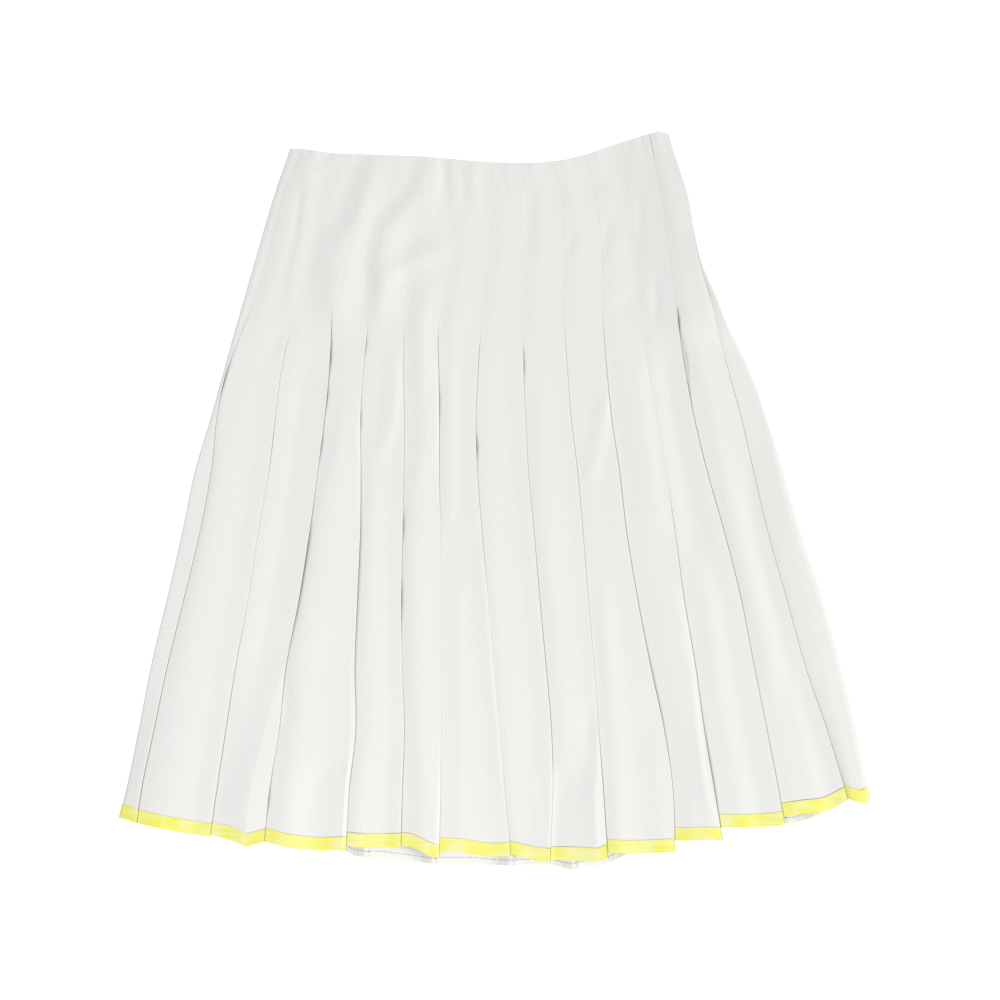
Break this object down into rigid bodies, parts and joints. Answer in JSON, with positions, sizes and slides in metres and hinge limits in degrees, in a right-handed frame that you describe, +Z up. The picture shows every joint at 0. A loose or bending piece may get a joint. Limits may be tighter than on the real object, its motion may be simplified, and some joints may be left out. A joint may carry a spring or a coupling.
{
  "type": "pleated midi skirt",
  "caption": "A-line midi skirt in knife pleats sewn down to the hip, with a ribbon along the hem, laid flat front up.",
  "frame": {"origin": "centre of the laid-out skirt's outline on the surface that its back lies on", "axes": "+Z up from the surface, out of the skirt's front; +Y up the skirt from hem to waist; +X to the right as the front is seen"},
  "size_m": [0.7571, 0.737, 0.0206],
  "materials": {
    "crepe": "matt, soft, slightly textured white crepe",
    "ribbon": "pale yellow ribbed ribbon with a low sheen"
  },
  "bodies": {
    "root": {"front_panel": "crepe", "back_panel": "crepe", "front_hem_ribbon": "ribbon", "back_hem_ribbon": "ribbon"}
  },
  "joints": []
}
